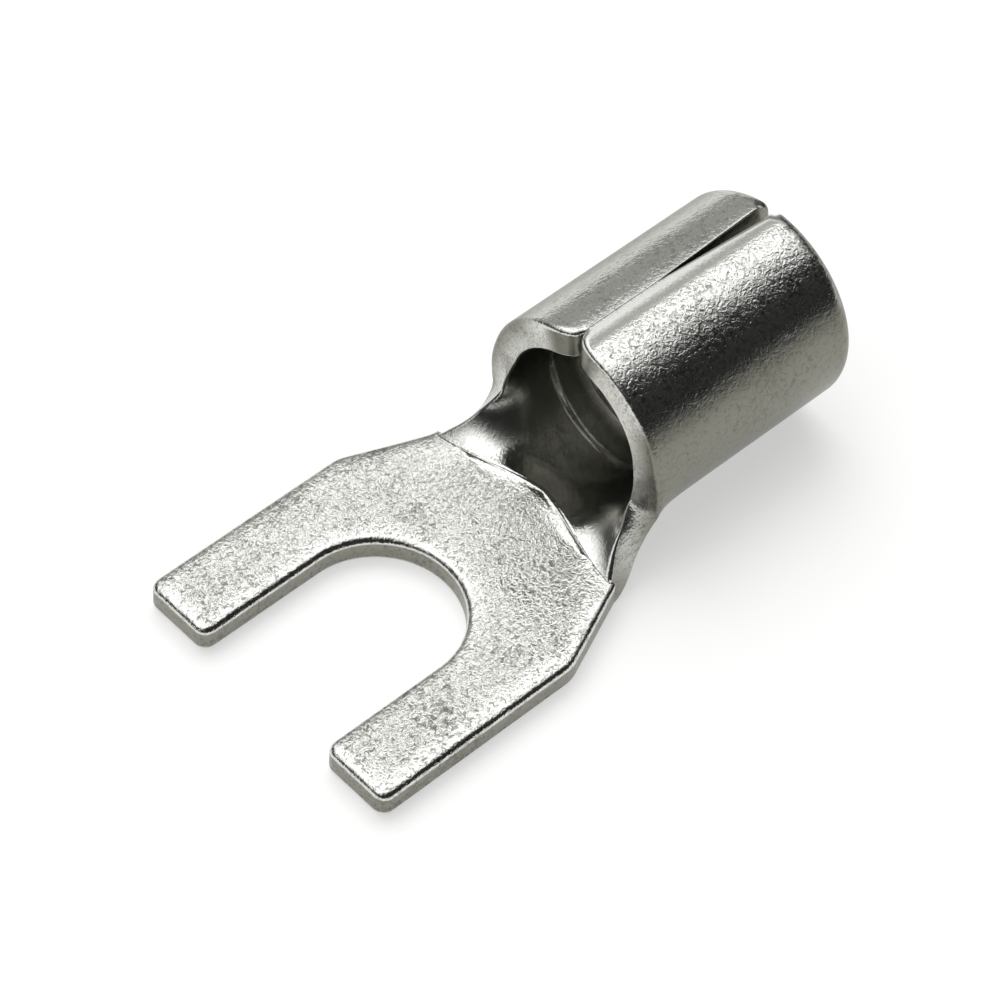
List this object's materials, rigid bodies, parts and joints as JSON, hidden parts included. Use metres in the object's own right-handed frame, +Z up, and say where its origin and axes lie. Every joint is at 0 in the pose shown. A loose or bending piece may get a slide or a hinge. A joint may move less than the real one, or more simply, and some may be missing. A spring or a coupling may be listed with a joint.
{
  "type": "fork terminal",
  "caption": "Bare crimp fork terminal: flat forked tongue with an open stud slot, a trough-shaped neck and a rolled wire barrel with a butt seam, in one piece of tinned sheet.",
  "frame": {"origin": "centre of the stud slot's round end, on the underside of the tongue, which is the plane the part rests on", "axes": "+X from the stud along the barrel towards the wire, +Z up out of the tongue towards the seam, Y across the prongs"},
  "size_m": [0.0165, 0.0082, 0.0057],
  "materials": {
    "tinned_copper": "satin tin plate with a fine crinkled grain, on copper sheet"
  },
  "bodies": {
    "root": {"fork_terminal": "tinned_copper"}
  },
  "joints": []
}
